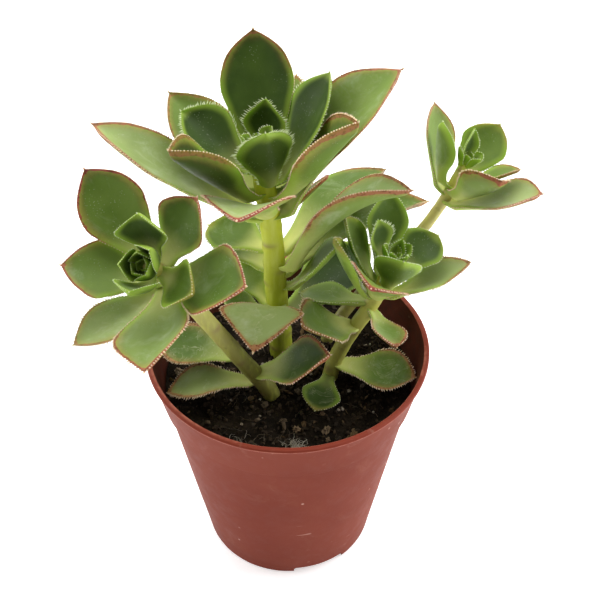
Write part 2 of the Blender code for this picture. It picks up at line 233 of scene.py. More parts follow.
def pot_material():
    """Matt red-brown moulded plastic, dusty and scuffed, with painted shade on the inner wall and
    painted highlights on the lip's edges.
    """
    n = Nodes("pot_plastic")
    inside, lip, worn = n.attribute("pot")
    edge = n.attribute("rim")[0]
    mottle = n.noise(350, 4, 0.65)
    broad = n.remap(n.noise(45, 3, 0.5), 0.35, 0.68)
    colour = n.mix(broad, (0.172, 0.029, 0.014), (0.198, 0.038, 0.02))
    colour = n.mix(n.remap(mottle, 0.5, 0.75) * 0.3, colour, (0.215, 0.062, 0.038))
    colour = n.mix(lip * 0.7, colour, (0.205, 0.034, 0.019))
    # Dust and lime patches, and short pale scuffs
    dust = n.remap(n.noise(130, 5, 0.7, distortion=0.8), 0.56, 0.74) * worn
    colour = n.mix(dust * 0.36, colour, (0.4, 0.215, 0.16))
    lines = n.noise(520, 2, 0.5, stretch=(0.35, 0.35, 1.6), distortion=0.4)
    scuffs = n.remap(lines, 0.7, 0.76) * n.remap(n.noise(90, 2), 0.58, 0.66)
    colour = n.mix(scuffs * 0.55, colour, (0.52, 0.29, 0.23))
    # Painted shade: the inner wall darkened nearly to black, in soft patches
    film_and_shade = inside * n.remap(mottle, 0.25, 0.6, 0.86, 0.62)
    colour = n.mix(film_and_shade, colour, (0.04, 0.02, 0.014))
    # Small nicks, and painted highlights on the lip's edges
    nicks = n.remap(n.cells(330), 0.06, 0.13, 1.0, 0.0) * n.remap(n.noise(210, 2), 0.55, 0.62)
    colour = n.mix(nicks * 0.7, colour, (0.56, 0.33, 0.26))
    lip_highlight = edge * n.remap(n.noise(700, 3, 0.6), 0.38, 0.62, 0.35, 1.0)
    colour = n.mix(lip_highlight * 0.75, colour, (0.44, 0.145, 0.095))
    rough = n.remap(mottle, 0.3, 0.7, 0.52, 0.64) + (dust + scuffs) * 0.15 - lip * 0.14
    height = mottle * 0.7 + n.noise(2400, 2, 0.5) * 0.3 - scuffs * 0.4
    return n.finish(colour, rough, n.bump(height, 0.3, 0.00015), Specular_IOR_Level=0.08)


def soil_material():
    """Dark peat: near-black brown with paler fibrous patches."""
    n = Nodes("potting_soil")
    clump = n.noise(260, 5, 0.7)
    grain = n.noise(1700, 4, 0.7)
    colour = n.ramp(clump, [(0.3, (0.004, 0.003, 0.002)), (0.5, (0.013, 0.0095, 0.006)),
                            (0.68, (0.03, 0.021, 0.013)), (0.82, (0.07, 0.05, 0.032))])
    colour = n.mix(n.remap(grain, 0.62, 0.8) * 0.4, colour, (0.08, 0.055, 0.034))
    return n.finish(colour, n.remap(grain, 0.3, 0.7, 0.75, 0.98),
                    n.bump(clump + grain, 0.9, 0.0006), Specular_IOR_Level=0.05)


def grit_material():
    """Loose bits on the soil: crumbs, bark, perlite and fibres, told apart by the mesh."""
    n = Nodes("soil_bits")
    pale, warm, bright = n.attribute("bit")
    grain = n.noise(2200, 4, 0.65)
    clump = n.noise(700, 3, 0.6)
    dark = n.mix(warm, (0.012, 0.009, 0.006), (0.032, 0.021, 0.012))
    light = n.mix(warm, (0.48, 0.44, 0.36), (0.33, 0.21, 0.095))
    colour = n.mix(pale, dark, light)
    colour = n.mix(n.remap(grain, 0.45, 0.7) * 0.45, colour, (0.02, 0.014, 0.01))
    colour = n.mix(bright * 0.5, colour, (0.7, 0.66, 0.56))
    return n.finish(colour, n.remap(clump, 0.3, 0.7, 0.65, 0.95),
                    n.bump(grain + clump, 0.7, 0.0003), Specular_IOR_Level=0.08)


LEAF = leaf_material()
STEM = stem_material()
POT = pot_material()
SOIL = soil_material()
GRIT = grit_material()


# ---- mesh helpers

def new_object(name, data):
    obj = bpy.data.objects.new(name, data)
    bpy.context.scene.collection.objects.link(obj)
    return obj


def add_layer(mesh, name, values):
    """One vector for each vertex, for a material to read by its name."""
    layer = mesh.attributes.new(name, "FLOAT_VECTOR", "POINT")
    layer.data.foreach_set("vector", np.asarray(values, np.float32).ravel())


def shade_smooth(mesh, sharp_angle):
    """Smooth shading, but for edges sharper than the angle in degrees."""
    mesh.shade_smooth()
    mesh.set_sharp_from_angle(angle=radians(sharp_angle))


class Build:
    """Vertices, faces and per-vertex vectors gathered for one mesh."""

    def __init__(self, *attributes):
        self.points = []
        self.faces = []
        self.values = {name: [] for name in attributes}
        self.count = 0

    def add(self, points, faces, **values):
        points = np.asarray(points, float).reshape(-1, 3)
        self.points.append(points)
        self.faces.extend([tuple(int(i) + self.count for i in face) for face in faces])
        for name, rows in self.values.items():
            rows.append(np.broadcast_to(values[name], points.shape))
        self.count += len(points)

    def make(self, name, material, smooth_angle=50.0):
        mesh = bpy.data.meshes.new(name)
        mesh.from_pydata(np.concatenate(self.points).tolist(), [], self.faces)
        for key, rows in self.values.items():
            add_layer(mesh, key, np.concatenate(rows))
        mesh.validate()
        shade_smooth(mesh, smooth_angle)
        mesh.materials.append(material)
        obj = new_object(name, mesh)
        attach(obj, "root")
        return obj


def circle(radius, count):
    """Points (x, y) evenly round the axis."""
    angles = [TURN * k / count for k in range(count)]
    return [(radius * cos(angle), radius * sin(angle)) for angle in angles]


def loop_faces(rows, columns):
    """Quads of a closed tube of rows x columns points."""
    faces = []
    for r in range(rows - 1):
        for c in range(columns):
            d = (c + 1) % columns
            faces.append((r * columns + c, r * columns + d,
                          (r + 1) * columns + d, (r + 1) * columns + c))
    return faces


def tube_faces(rows, columns):
    """The same with a face over each end."""
    last = (rows - 1) * columns
    return loop_faces(rows, columns) + [tuple(range(columns))[::-1],
                                        tuple(range(last, last + columns))]


def distances(line):
    """How far along a line of points each of them lies."""
    steps = np.linalg.norm(np.diff(line, axis=0), axis=1)
    return np.concatenate([[0.0], np.cumsum(steps)])


def curve_through(places, values, at):
    """Cubic curve through the values, with the slope at each one read from its neighbours."""
    steps = np.diff(places)
    slopes = np.diff(values, axis=0) / steps[:, None]
    before = steps[:-1, None]
    after = steps[1:, None]
    between = (slopes[:-1] * after + slopes[1:] * before) / (before + after)
    tangents = np.concatenate([slopes[:1], between, slopes[-1:]])
    at = np.clip(np.asarray(at, float), places[0], places[-1])
    cell = np.clip(np.searchsorted(places, at, side="right") - 1, 0, len(steps) - 1)
    h = steps[cell][:, None]
    u = ((at - places[cell]) / steps[cell])[:, None]
    return ((2 * u ** 3 - 3 * u ** 2 + 1) * values[cell] + (u ** 3 - 2 * u ** 2 + u) * h
            * tangents[cell] + (3 * u ** 2 - 2 * u ** 3) * values[cell + 1]
            + (u ** 3 - u ** 2) * h * tangents[cell + 1])


def unit(v):
    return v / np.maximum(np.linalg.norm(v, axis=-1, keepdims=True), 1e-12)


# ---- reading the CAD pieces

WELD = 0.002 * MM  # nearer points are one
STEM_RINGS, STEM_RING_POINTS = 17, 10  # rings along a stem in the CAD, and points in each
LEAF_RINGS, LEAF_RING_POINTS = 8, 8
LINE_STEPS = 240
TIP_THICKNESS = 0.25 * MM
# Half-width of a young leaf along its length, as shares
YOUNG_OUTLINE = np.array([(0.0, 0.34), (0.15, 0.44), (0.3, 0.66), (0.44, 0.88), (0.58, 1.0),
                          (0.72, 0.92), (0.85, 0.62), (0.94, 0.3), (1.0, 0.0)])


def welded(node):
    """Points and triangles of a CAD node with its split vertices joined."""
    mesh = NODES[node].data
    mesh.calc_loop_triangles()
    places = np.array([v.co[:] for v in mesh.vertices], float)
    _, first, inverse = np.unique(np.round(places / WELD).astype(int), axis=0,
                                  return_index=True, return_inverse=True)
    inverse = inverse.ravel()
    triangles = [tuple(int(inverse[i]) for i in t.vertices) for t in mesh.loop_triangles]
    return places[first], triangles


def rings_of(node, size, count):
    """A lofted CAD piece as its end point and its rings of points, each in the same order."""
    points, triangles = welded(node)
    near = [set() for _ in points]
    for a, b, c in triangles:
        near[a] |= {b, c}
        near[b] |= {a, c}
        near[c] |= {a, b}
    for start in range(len(points)):
        if len(near[start]) != size:
            continue
        seen = {start}
        rings = [[start]]
        while rings[-1]:
            ring = set().union(*(near[i] for i in rings[-1])) - seen
            seen |= ring
            rings.append(sorted(ring))
        rings = rings[1:count + 1]
        if all(len(ring) == size for ring in rings):
            break
    ordered = []
    for ring in rings:
        inside = [t for t in triangles if all(i in ring for i in t)]
        if inside:
            # The ring is the outline of the triangles that close the piece's end
            sides = Counter(frozenset(pair) for t in inside
                            for pair in (t[:2], t[1:], (t[2], t[0])))
            linked = {i: [j for j in ring if sides[frozenset((i, j))] == 1] for i in ring}
        else:
            linked = {i: [j for j in ring if j in near[i]] for i in ring}
        walk = [ring[0]]
        while len(walk) < size:
            walk.append([j for j in linked[walk[-1]] if j not in walk][0])
        loop = points[walk]
        if ordered:
            target = ordered[-1] - ordered[-1].mean(0)
            choices = [np.roll(side, k, axis=0) for side in (loop, loop[::-1])
                       for k in range(size)]
            loop = min(choices, key=lambda c: np.sum((c - c.mean(0) - target) ** 2))
        ordered.append(loop)
    return points[start], ordered


class StemLine:
    """A stem's centre line and radius, from the soil to the growing tip."""

    def __init__(self, node):
        _, rings = rings_of(node, STEM_RING_POINTS, STEM_RINGS)
        if rings[0].mean(0)[2] > rings[-1].mean(0)[2]:
            rings = rings[::-1]
        self.centres = np.array([ring.mean(0) for ring in rings])
        self.radii = np.array([np.linalg.norm(ring - ring.mean(0), axis=1).mean()
                               for ring in rings])
        self.along = distances(self.centres)
        self.length = self.along[-1]

    def at(self, along):
        return curve_through(self.along, self.centres, along)

    def radius(self, along):
        return np.interp(along, self.along, self.radii)

    def nearest(self, point):
        """The closest point on the line."""
        line = self.at(np.linspace(0, self.length, LINE_STEPS))
        return line[np.argmin(np.sum((line - point) ** 2, axis=1))]


STEMS = {name: StemLine(name) for name in NODES if name.endswith("_stem")}


class LeafForm:
    """A leaf as cross sections along its blade: how far along, middle of the upper side,
    direction across, upper direction, and the half-width, rise of the margins and thickness."""

    def __init__(self, t, centre, side, up, reach, rise, thick):
        self.t, self.centre, self.side, self.up = t, centre, side, up
        self.sizes = np.stack([reach, rise, thick], axis=1)
        self.length = distances(self.centre)[-1]

    @classmethod
    def from_node(cls, node):
        tip, rings = rings_of(node, LEAF_RING_POINTS, LEAF_RINGS)
        rings = rings[::-1]
        # The margins are the two opposite points that lie furthest apart
        half = LEAF_RING_POINTS // 2
        spans = [sum(np.linalg.norm(ring[k] - ring[k + half]) for ring in rings)
                 for k in range(half)]
        first = np.argmax(spans)
        rows = []
        for ring in rings:
            ring = np.roll(ring, -first, axis=0)
            margin_a, mid_a, margin_b, mid_b = ring[0], ring[2], ring[4], ring[6]
            middle = (margin_a + margin_b) / 2
            if np.linalg.norm(mid_b - middle) < np.linalg.norm(mid_a - middle):
                mid_a, mid_b = mid_b, mid_a
            up = unit(mid_a - mid_b)
            rows.append([mid_a, unit(margin_b - margin_a), up,
                         np.linalg.norm(margin_b - margin_a) / 2, (middle - mid_a) @ up,
                         np.linalg.norm(mid_a - mid_b)])
        rows.append([tip, rows[-1][1], rows[-1][2], 0.0, 0.0, TIP_THICKNESS])
        centre, side, up, *sizes = map(np.array, zip(*rows))
        along = distances(centre)
        if np.cross(side[0], unit(centre[1] - centre[0])) @ up[0] < 0:
            side = -side
        return cls(along / along[-1], centre, side, up, *sizes)

    @classmethod
    def from_angles(cls, foot, direction, up, length, width, arch, fold, thick):
        """A young blade from its foot, direction and upper side. Arch and fold in degrees."""
        t, share = YOUNG_OUTLINE.T
        direction = unit(direction)
        up = unit(up - direction * (direction @ up))
        side = np.cross(direction, up)
        sag = length * radians(arch) / 2 * t * (1 - t)
        centre = foot + np.outer(t * length, direction) - np.outer(sag, up)
        half = width * share / 2
        ones = np.ones((len(t), 1))
        return cls(t, centre, ones * side, ones * up, half * cos(radians(fold)),
                   half * sin(radians(fold)), thick * (1 - 0.6 * t))


# ---- leaves

# Places round a blade, from -1 at one margin to 1 at the other: above, then back below
UPPER = np.sin(np.linspace(-1, 1, 15) * pi / 2)
LOWER = np.sin(np.linspace(1, -1, 13)[1:-1] * pi / 2)
ROW_STEP = 0.42 * MM  # between the rows of points along a blade
POINTED = 0.45  # share of the way from a rounded end to a straight-sided point
POINT_START = 0.34  # how far from the tip its sides would have the full width
FOOT_WIDENING = 0.24  # extra width at the very foot, fading out over FOOT_SHARE
FOOT_SHARE = 0.45
RIM_SHARE = 0.26  # thickness of the margin, as a share of the blade's
MUCRO = 0.11  # length of the hard tip, as a share of the half-width
MUCRO_GIRTH = 0.035
SPINE_SIDES = 5
SPINE_SUNK = 0.1 * MM


def add_leaf(build, form, look, stem=None):
    """A fine leaf with rounded margins and its row of marginal teeth.
    look: shade, red, span of the red, yellow foot, age, tooth length in millimetres, and how
    pointed the end is, where that isn't POINTED."""
    shade, red, span, base, age, tooth_length, point = (*look, POINTED)[:7]
    columns = len(UPPER) + len(LOWER)
    rows = int(np.clip(form.length / ROW_STEP, 18, 84))
    t = np.linspace(0, 1, rows + 1)[:-1]
    t = np.append(t, 1 - 0.35 / rows)
    centre = curve_through(form.t, form.centre, t)
    side = unit(curve_through(form.t, form.side, t))
    up = unit(curve_through(form.t, form.up, t))
    reach, rise, thick = curve_through(form.t, form.sizes, t).T
    size = float(form.sizes[:, 0].max())
    direction = unit(np.gradient(centre, axis=0))

    # The narrower of the leaf's own outline and a straight-sided point, softly joined
    straight = size * (1 - t) / POINT_START
    soft = 0.42 * size * np.clip((1 - t) / 0.25, 0.05, 1)
    blend = np.clip(0.5 + 0.5 * (straight - reach) / soft, 0, 1)
    pointed = straight * (1 - blend) + reach * blend - soft * blend * (1 - blend)
    reach = reach * (1 - point) + pointed * point
    widening = 1 + FOOT_WIDENING * np.clip(1 - t / FOOT_SHARE, 0, 1) ** 0.8
    reach = np.maximum(reach, 0.02 * MM) * widening

    # The foot runs on into the stem
    if stem:
        half_thick = up[0] * form.sizes[0][2] / 2
        foot = form.centre[0] - half_thick
        target = stem.nearest(foot - direction[0] * 1.2 * MM)
        gap = target - foot
        depth = np.linalg.norm(gap)
        target = foot + gap * min(1.0, (depth - 0.4 * MM) / max(depth, 1e-9))
        steps = np.array([1.0, 0.66, 0.33])[:, None]
        knee = foot - direction[0] * 0.9 * MM
        back = foot * (1 - steps) ** 2 + knee * 2 * steps * (1 - steps) + target * steps ** 2
        centre = np.concatenate([back + half_thick, centre])
        side, up, direction = (np.concatenate([np.repeat(rows[:1], len(steps), 0), rows])
                               for rows in (side, up, direction))
        shrink = 1 - 0.32 * steps[:, 0]
        reach, rise, thick = (np.concatenate([sizes[0] * shrink, sizes])
                              for sizes in (reach, rise, thick))
        t = np.concatenate([-steps[:, 0] * 0.08, t])

    # Slow undulation of the blade and of its outline
    phase = rng.uniform(0, TURN, 6)
    sway = np.clip(t, 0, 1)
    reach = reach * (1 + 0.018 * np.sin(9 * t + phase[0]) + 0.012 * np.sin(21 * t + phase[1]))
    ripple = (0.02 + 0.03 * age) * size
    ripple_left = ripple * np.sin(11 * t + phase[2]) * sway
    ripple_right = ripple * np.sin(10 * t + phase[3]) * sway
    dimple = 0.025 * size * np.sin(7 * t + phase[4]) * sway

    def surface(a, below):
        """Points across the blade at the given places, for every row."""
        a = a[None, :]
        lift = np.abs(a) ** 1.5 * 0.55 + a ** 2 * 0.45
        rim = RIM_SHARE * thick[:, None]
        height = lift * rise[:, None]
        height = height + np.where(a < 0, ripple_left[:, None], ripple_right[:, None]) * a ** 4
        height = height + dimple[:, None] * (1 - a ** 2)
        if below:
            fall = rim + (thick[:, None] - rim) * np.clip(1 - np.abs(a) ** 2.5, 0, 1) ** 0.6
        else:
            fall = rim * np.abs(a) ** 9
        across = a * reach[:, None]
        return (centre[:, None, :] + side[:, None, :] * across[..., None]
                + up[:, None, :] * (height - fall)[..., None])

    grid = np.concatenate([surface(UPPER, False), surface(LOWER, True)], axis=1)
    total = len(t)
    inward = (1 - np.abs(np.concatenate([UPPER, LOWER])))[None, :] * reach[:, None]
    end = (1 - np.clip(t, 0, 1))[:, None] * form.length * 0.8
    edge = np.minimum(inward, end) / MM
    sided = np.concatenate([np.ones(len(UPPER)), np.zeros(len(LOWER))])
    sided[0] = sided[len(UPPER) - 1] = 0.5
    place = np.stack(np.broadcast_arrays(t[:, None], edge, sided), axis=2)
    faces = loop_faces(total, columns)
    faces.append(tuple(range(columns))[::-1])
    last = (total - 1) * columns
    for c in range(columns):
        faces.append((last + c, last + (c + 1) % columns, total * columns))
    tip = form.centre[-1] - up[-1] * 0.12 * MM
    build.add(np.concatenate([grid.reshape(-1, 3), [tip]]), [face[::-1] for face in faces],
              place=np.concatenate([place.reshape(-1, 3), [[1.0, 0.0, 0.5]]]),
              look=(shade, red, span), detail=(base, age, 0.0))

    def spine(root, heading, lift, length, radius, bend, along):
        """A short bent cone, sunk a little into the margin."""
        across = unit(np.cross(heading, lift))
        other = np.cross(heading, across)
        start = root - heading * SPINE_SUNK
        cone = []
        for level, girth in ((0.0, 1.0), (0.45, 0.72)):
            middle = start + heading * length * level + bend * level ** 2
            for x, y in circle(1.0, SPINE_SIDES):
                cone.append(middle + radius * girth * (x * across + y * other))
        cone.append(start + heading * length + bend)
        cone_faces = [tuple(range(SPINE_SIDES))[::-1]]
        for k in range(SPINE_SIDES):
            j = (k + 1) % SPINE_SIDES
            cone_faces.append((k, j, SPINE_SIDES + j, SPINE_SIDES + k))
            cone_faces.append((SPINE_SIDES + k, SPINE_SIDES + j, 2 * SPINE_SIDES))
        tooth = [0.0] * SPINE_SIDES + [0.5] * SPINE_SIDES + [1.0]
        build.add(cone, cone_faces, place=(along, 0.0, 0.5), look=(shade, red, span),
                  detail=[(base, age, level) for level in tooth])

    # Teeth lean towards the tip
    for sign, column in ((-1, 0), (1, len(UPPER) - 1)):
        line = grid[:, column]
        distance = distances(line)
        where = 0.1 * distance[-1]
        while where < distance[-1] - 0.1 * MM:
            root = np.array([np.interp(where, distance, line[:, k]) for k in range(3)])
            row = int(np.clip(np.searchsorted(distance, where), 0, total - 1))
            along = float(np.interp(where, distance, t))
            fullness = 0.65 + 0.35 * sin(pi * min(1, along))
            length = tooth_length * MM * (rng.uniform(0.65, 1.15) * fullness)
            radius = (0.115 + 0.06 * min(1.0, red + age)) * MM * rng.uniform(0.85, 1.15)
            heading = unit(side[row] * sign + direction[row] * rng.uniform(0.15, 0.6)
                           + up[row] * rng.uniform(-0.25, 0.35))
            bend = direction[row] * length * rng.uniform(0.0, 0.2)
            spine(root, heading, up[row], length, radius, bend, along)
            where += rng.uniform(0.4, 0.62) * MM * (0.8 if red < 0.1 else 1.0)
    # The leaf ends in a small hard point
    spine(tip, direction[-1], up[-1], MUCRO * size, MUCRO_GIRTH * size, up[-1] * 0.1 * MM, 1.0)


YOUNG, GROWN, OLD = 1.2, 0.85, 0.55  # tooth lengths, in millimetres
# Looks of the leaves by group, in the order of their numbers: shade, red, span of the red from
# the tip, yellow foot, age, tooth length, and how pointed the end is, where that isn't POINTED
# Painted light and shade: the shade numbers hold each leaf's own tone, and are also lower for
# leaves in shadow and higher, even above 1, for leaves lit from above
LOOKS = {
    "crown_leaf": [
        (0.02, 0, 0, 0.2, 0, YOUNG, 0.9), (-0.02, 0, 0, 0.3, 0, YOUNG, 0.3),
        (-0.06, 0, 0, 0.3, 0, YOUNG), (0.06, 0.8, 0.35, 0.3, 0, 0.25, 0.1),
        (0.08, 0.1, 0.1, 0.3, 0, GROWN, 0.15), (-0.1, 0.7, 0.45, 0.4, 0, 0.6),
        (0.34, 0.8, 0.6, 0.5, 0, GROWN), (0.5, 0.7, 0.6, 0.5, 0.2, 0.35),
        (1.3, 1, 0.8, 0.6, 0, GROWN), (0.6, 0.7, 0.2, 0.6, 0, YOUNG),
        (0.66, 0.9, 0.7, 0.5, 0.1, 0.4, 0.1), (0.88, 0.9, 0.5, 0.8, 0, GROWN),
        (0.3, 1, 0.8, 0.7, 0.4, 0.35),
    ],
    "left_leaf": [
        (0.45, 0, 0, 0.4, 0, 0.35, 0.3), (0.06, 0, 0, 0.4, 0, 0.3, 0.6),
        (0.22, 0.4, 0.25, 0.5, 0, 0.3), (0.22, 0.9, 0.55, 0.6, 0, 0.25),
        (0.45, 1, 0.65, 0.6, 0, 0.22), (0.33, 0.9, 0.55, 0.6, 0, 0.35, 0.7),
        (0.48, 0.9, 0.45, 0.6, 0, 0.25), (0.68, 0.9, 0.55, 0.6, 0, GROWN, 0.75),
        (0.88, 0.7, 0.55, 0.6, 0.2, GROWN),
    ],
    "main_stem_leaf": [
        (0.42, 0.3, 0.3, 0.8, 0, GROWN), (0.42, 0.8, 0.3, 1, 0.3, 0.35, 0.15),
        (0.85, 0.9, 0.75, 1, 0.3, 0.4, 0.2), (0.72, 0.1, 0.1, 1, 0, 0.35, 0.2),
        (0.42, 0.8, 0.4, 0.9, 0.6, 0.4), (0.55, 0.1, 0.1, 1, 0, GROWN), (0.7, 0, 0, 1, 0, 0.3),
        (-0.16, 0.2, 0.2, 0.2, 0, 0.35), (0.5, 0.1, 0.1, 1, 0.3, OLD),
        (1.05, 1, 0.9, 0.5, 1, OLD, 0.8),
    ],
    "left_stem_leaf": [
        (0.32, 0.8, 0.7, 0.4, 0.8, OLD, 0.7), (0.1, 0.9, 0.6, 0.6, 0.25, OLD, 0.9),
        (0.95, 0.8, 0.7, 0.8, 0.6, GROWN),
    ],
    "right_leaf": [
        (0.08, 0, 0, 0.4, 0, YOUNG, 0.8), (0.14, 0.2, 0.2, 0.4, 0, 0.4, 0.1),
        (0.3, 0, 0, 0.6, 0, 0.6, 0.1), (0.25, 0.1, 0.1, 0.4, 0, 0.4), (0.5, 0.3, 0.2, 0.6, 0, 0.6),
        (0.62, 1, 0.8, 0.6, 0, GROWN), (1.3, 0.8, 0.4, 1, 0, GROWN), (0.5, 0.4, 0.25, 0.6, 0, 0.6),
    ],
    "far_leaf": [
        (0.5, 0.7, 0.5, 0.5, 0, 0.4), (0.42, 0.4, 0.3, 0.5, 0, 0.4), (0.38, 0, 0, 0.5, 0, 0.5),
        (1.1, 0.9, 0.55, 0.8, 0, GROWN), (0.62, 0.8, 0.5, 0.6, 0, 0.35),
        (1.1, 0.9, 0.6, 0.9, 0, GROWN),
    ],
    "right_stem_leaf": [
        (0.58, 0.2, 0.2, 0.4, 0.4, OLD), (0.48, 0.9, 0.8, 0.5, 0.3, 0.45),
        (0.52, 0.8, 0.45, 1, 0.3, GROWN, 0.3), (0.34, 0.8, 0.6, 0.6, 0.5, GROWN),
        (-0.08, 0.3, 0.2, 0.2, 0.35, 0.3, 0.3),
    ],
}

OWN_STEM = {"crown": "main_stem", "main": "main_stem", "left": "left_stem",
            "right": "right_stem", "far": "far_stem"}

for name in sorted(NODES):
    if "_leaf_" not in name:
        continue
    group, number = name.rsplit("_", 1)
    leaf = Build("place", "look", "detail")
    look = LOOKS[group][int(number) - 1]
    add_leaf(leaf, LeafForm.from_node(name), look, STEMS[OWN_STEM[name.split("_")[0]]])
    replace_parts(leaf.make(f"{name}_blade", LEAF), name)


# ---- growing tips

GOLDEN_ANGLE = 137.5  # turn from one leaf to the next, in degrees
# Young leaves round each growing tip: piece, count, length and width of the biggest in
# millimetres, lean of the outermost, arch and fold in degrees, shade, tooth length
BUDS = {
    "main_stem": ("crown_bud", 5, 4.2, 4.0, 38, 30, 30, 0.1, 0.7),
    "left_stem": ("left_bud", 8, 6.2, 7.0, 26, 55, 30, 0.14, 0.25),
    "right_stem": ("right_bud", 7, 4.6, 3.8, 38, 30, 30, 0.22, 0.55),
    "far_stem": ("far_bud", 6, 4.4, 3.6, 42, 30, 30, 0.3, 0.5),
}
# Single pointed leaves that stand above a bud: turn, lean, length, width, fold, shade
LEADERS = {"far_stem": (128, 12, 7.6, 4.6, 26, 0.1), "right_stem": (75, 14, 5.0, 3.2, 26, 0.2)}
INNERMOST_LEAN = 8


def across_axes(heading):
    """Two directions square to the heading and to each other, the first nearly along x."""
    first = unit(np.array([1.0, 0, 0]) - heading * heading[..., :1])
    return first, np.cross(heading, first)


def make_bud(stem, name, count, length, width, spread, arch, fold, shade, tooth, leader):
    bud = Build("place", "look", "detail")
    axis = unit(stem.at([stem.length])[0] - stem.at([stem.length - 2 * MM])[0])
    first, second = across_axes(axis)

    def young_leaf(turn, lean, start, apart, length, width, arch, fold, shade, tooth, point):
        turn, lean = radians(turn), radians(lean)
        outward = cos(turn) * first + sin(turn) * second
        direction = cos(lean) * axis + sin(lean) * outward
        foot = stem.at([start])[0] + outward * apart * stem.radius(start)
        up = axis * sin(lean) - outward * cos(lean)
        form = LeafForm.from_angles(foot, direction, up, length * MM, width * MM, arch, fold,
                                    0.16 * width * MM + 0.15 * MM)
        add_leaf(bud, form, (shade, 0.0, 0.0, 0.3, 0.0, tooth, point))

    for k in range(count):
        share = 1 - k / (count + 1.0)
        young_leaf(40 + GOLDEN_ANGLE * k, INNERMOST_LEAN + (spread - INNERMOST_LEAN) * share,
                   stem.length - 1.2 * MM + 0.9 * MM * (1 - share), 0.25 + 0.55 * share,
                   length * share ** 0.8, width * share ** 0.8, arch, fold, shade,
                   tooth * share ** 0.5, 0.2)
    if leader:
        turn, lean, length, width, fold, shade = leader
        young_leaf(turn, lean, stem.length - 1.5 * MM, 0.9, length, width, 8, fold, shade,
                   tooth, 0.9)
    bud.make(name, LEAF)


for name, bud_look in BUDS.items():
    make_bud(STEMS[name], *bud_look, LEADERS.get(name))


# ---- stems

STEM_SIDES = 28
SCAR_PITCH = 3.2 * MM
SCAR_HEIGHT = 0.55 * MM
SCAR_REACH = 0.75  # how far a scar reaches round the stem, in radians
SOIL_LEVEL = 0.042  # where a stem comes out of the soil, in metres
# How brown a stem is, and how much paler than its height alone makes it
STEM_LOOKS = {"main_stem": (0.0, 0.15), "left_stem": (0.75, 0.0), "right_stem": (0.6, 0.9),
              "far_stem": (0.9, 0.9)}


def make_stem(name, stem, brown, lift):
    """A stem with an uneven skin and a spiral of raised leaf scars."""
    rows = int(stem.length / (0.45 * MM))
    along = np.linspace(0, stem.length, rows)
    line = stem.at(along)
    radius = stem.radius(along)
    first, second = across_axes(unit(np.gradient(line, axis=0)))
    angles = np.arange(STEM_SIDES) * TURN / STEM_SIDES
    scars = [(k * SCAR_PITCH + 2 * MM, radians(GOLDEN_ANGLE * k + 30))
             for k in range(int(stem.length / SCAR_PITCH))]
    grid = np.zeros((rows, STEM_SIDES, 3))
    values = np.zeros((rows, STEM_SIDES, 3))
    exposed = np.clip((line[:, 2] - SOIL_LEVEL) / (line[-1, 2] - SOIL_LEVEL), 0, 1)
    for r in range(rows):
        for c, angle in enumerate(angles):
            out = cos(angle) * first[r] + sin(angle) * second[r]
            place = Vector(line[r] + out * radius[r])
            bulge = 0.05 * noise.noise(place * 420) + 0.03 * noise.noise(place * 1100)
            mark = 0.0
            for height, turn in scars:
                off = (angle - turn + pi) % TURN - pi
                ring = ((along[r] - height) / SCAR_HEIGHT) ** 2 + (off / SCAR_REACH) ** 2
                mark = max(mark, exp(-ring))
            grid[r, c] = line[r] + out * radius[r] * (1 + bulge + 0.07 * mark)
            values[r, c] = (min(1.0, exposed[r] ** 0.8 + lift * 0.3), brown, mark)
    tube = Build("stem")
    tube.add(grid, tube_faces(rows, STEM_SIDES), stem=values.reshape(-1, 3))
    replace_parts(tube.make(f"{name}_skin", STEM), name)


for name, stem in STEMS.items():
    make_stem(name, stem, *STEM_LOOKS[name])


# ---- pot

POT_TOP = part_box("pot")[1][2]
LIP_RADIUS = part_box("pot")[1][0]
COLLAR_HEIGHT = 9.6 * MM
COLLAR_BOTTOM = POT_TOP - COLLAR_HEIGHT
COLLAR_FOOT = 25.1 * MM  # outer radius at the collar's foot
COLLAR_TOP = 27.05 * MM  # the same, just under the lip
BORE = 26.4 * MM  # inner radius at the top
SHOULDER = 24.4 * MM  # outer radius just under the collar
FOOT = 17.6 * MM  # outer radius of the base
WALL = 0.7 * MM
AXIS_GAP = 0.2 * MM  # radius of the small flat in the base's middle
POT_SIDES = 240
DRAINS = (-68, 52, 172)  # drain directions, in degrees
ROOF_WIDTH = 12.4 * MM  # of the roof over a channel
DRAIN_WIDTH = 11 * MM
DRAIN_MIDDLE = 18 * MM  # distance of a channel's middle from the axis
DRAIN_LENGTH = 20 * MM
ROOF_START = 7.3 * MM
HOLE_RADIUS = 2 * MM
HOLE_DISTANCE = 12 * MM


def arc(radius, height, size, start, end, steps):
    """Points on an arc of the profile, as (radius, height). Angles in degrees."""
    return [(radius + size * cos(radians(a)), height + size * sin(radians(a)))
            for a in np.linspace(start, end, steps + 1)]


def line_between(a, b, steps):
    """Points after a, up to and with b."""
    return [(a[0] + (b[0] - a[0]) * k / steps, a[1] + (b[1] - a[1]) * k / steps)
            for k in range(1, steps + 1)]


